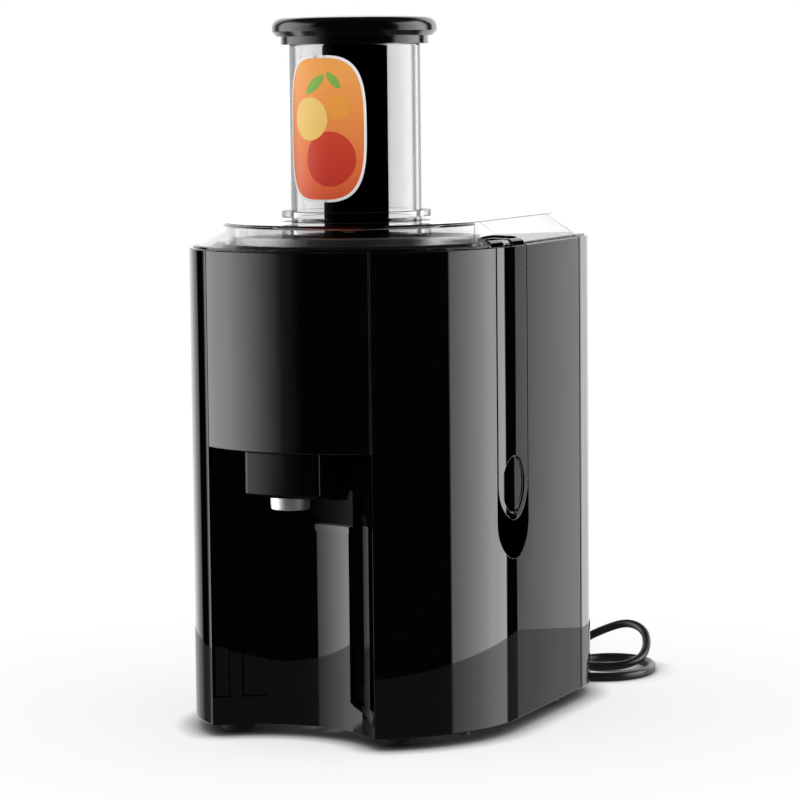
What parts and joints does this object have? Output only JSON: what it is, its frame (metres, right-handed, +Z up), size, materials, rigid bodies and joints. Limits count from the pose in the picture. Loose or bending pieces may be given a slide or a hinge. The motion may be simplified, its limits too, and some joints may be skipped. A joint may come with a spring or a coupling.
{
  "type": "centrifugal juicer",
  "caption": "Centrifugal juicer with wide feed chute and pusher, clear lid with side clamps, spinning filter basket, juice spout over a jug bay and rear pulp container.",
  "frame": {"origin": "on the floor under the middle of the body's width and length", "axes": "+Z up, -Y towards the front with the jug bay and spout, +X to the object's right"},
  "size_m": [0.2246, 0.452, 0.435],
  "materials": {
    "black_shell": "high gloss moulded plastic",
    "black_inner": "fine matt moulded plastic",
    "clear_lid": "clear polished plastic",
    "rubber_black": "matt rubber",
    "cord_black": "soft satin cable sheath",
    "steel_bright": "satin stainless steel",
    "steel_plated": "bright nickel plate",
    "copper": "enamelled copper",
    "white_plastic": "satin food-grade plastic",
    "nozzle_metal": "bright spun steel"
  },
  "bodies": {
    "base": {"base_plate": "black_inner", "base_screws": "steel_plated", "bay_panel": "black_shell", "bearings": "steel_plated", "brush_holders": "black_inner", "can_screws": "steel_plated", "cord_coil": "cord_black", "cord_grip": "cord_black", "cord_tail": "cord_black", "cord_tie": "cord_black", "cord_tube": "cord_black", "feet": "rubber_black", "field_coils": "copper", "front_panel": "black_shell", "housing": "black_shell", "juice_bowl": "black_shell", "motor_can": "steel_bright", "motor_deck": "black_inner", "plug_body": "cord_black", "plug_pins": "steel_plated", "shaft_seal": "rubber_black", "spout_nozzle": "nozzle_metal", "stator": "steel_bright", "switch_frame": "black_inner"},
    "rotor": {"motor_shaft": "steel_plated", "armature": "steel_bright", "commutator": "copper", "cooling_fan": "black_inner", "drive_coupling": "black_inner", "filter_hub": "white_plastic", "filter_mesh": "steel_bright", "filter_rim": "steel_bright", "grater_disc": "steel_bright"},
    "lid": {"lid": "clear_lid", "feed_chute": "clear_lid", "clamp_pins": "steel_plated"},
    "clamp_left": {"clamp_left": "black_shell"},
    "clamp_right": {"clamp_right": "black_shell"},
    "pusher": {"pusher_foot": "black_shell", "pusher_column": "black_shell", "pusher_cap": "black_shell"},
    "pulp_container": {"pulp_container": "black_shell"},
    "switch_rocker": {"switch_rocker": "black_inner"}
  },
  "joints": [
    {"name": "filter_spin", "type": "hinge", "parent": "base", "child": "rotor", "pos_m": [0, -0.0535, 0.2], "axis": [0, 0, 1], "continuous": true},
    {"name": "lid_lift", "type": "slide", "parent": "base", "child": "lid", "axis": [0, 0, 1], "range_m": [0, 0.1]},
    {"name": "pusher_slide", "type": "slide", "parent": "lid", "child": "pusher", "axis": [0, 0, 1], "range_m": [0, 0.165]},
    {"name": "clamp_left_swing", "type": "hinge", "parent": "lid", "child": "clamp_left", "pos_m": [-0.09563, -0.0445, 0.2965], "axis": [0, 1, 0], "range_deg": [0, 100]},
    {"name": "clamp_right_swing", "type": "hinge", "parent": "lid", "child": "clamp_right", "pos_m": [0.09563, -0.0445, 0.2965], "axis": [0, -1, 0], "range_deg": [0, 100]},
    {"name": "pulp_container_slide", "type": "slide", "parent": "base", "child": "pulp_container", "axis": [0, 1, 0], "range_m": [0, 0.05]},
    {"name": "switch_rock", "type": "hinge", "parent": "base", "child": "switch_rocker", "pos_m": [-0.09288, 0.00807, 0.052], "axis": [0, 0, 1], "range_deg": [-8, 8]}
  ]
}
